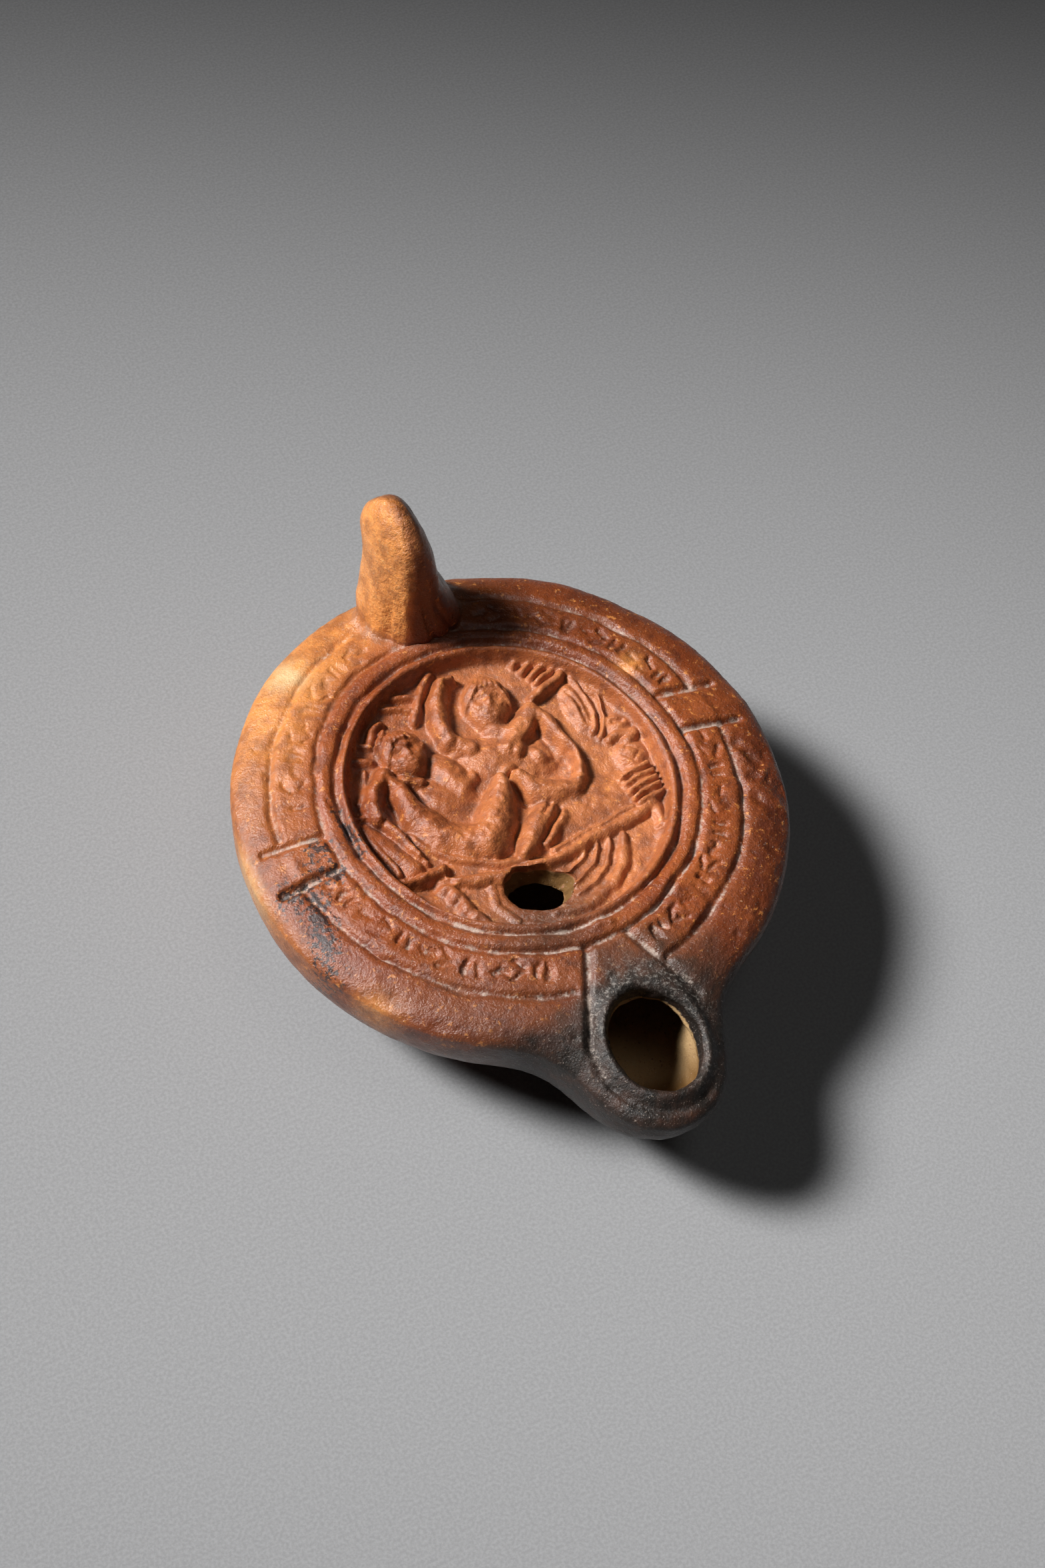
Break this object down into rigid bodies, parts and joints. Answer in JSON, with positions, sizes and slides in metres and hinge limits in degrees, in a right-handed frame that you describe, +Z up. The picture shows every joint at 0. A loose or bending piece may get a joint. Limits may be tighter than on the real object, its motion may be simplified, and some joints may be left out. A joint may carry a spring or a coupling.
{
  "type": "roman oil lamp",
  "caption": "Closed fired-clay oil lamp with a sunken picture disc, a filling hole, a short round nozzle and a solid upright handle.",
  "frame": {"origin": "centre of the flat base, on the surface that the lamp stands on", "axes": "+Z up; the nozzle points along -Y and the handle stands at +Y"},
  "size_m": [0.0814, 0.0992, 0.0491],
  "materials": {
    "clay": "worn red slip, satin, with soot on the nozzle"
  },
  "bodies": {
    "root": {"lamp_body": "clay"}
  },
  "joints": []
}
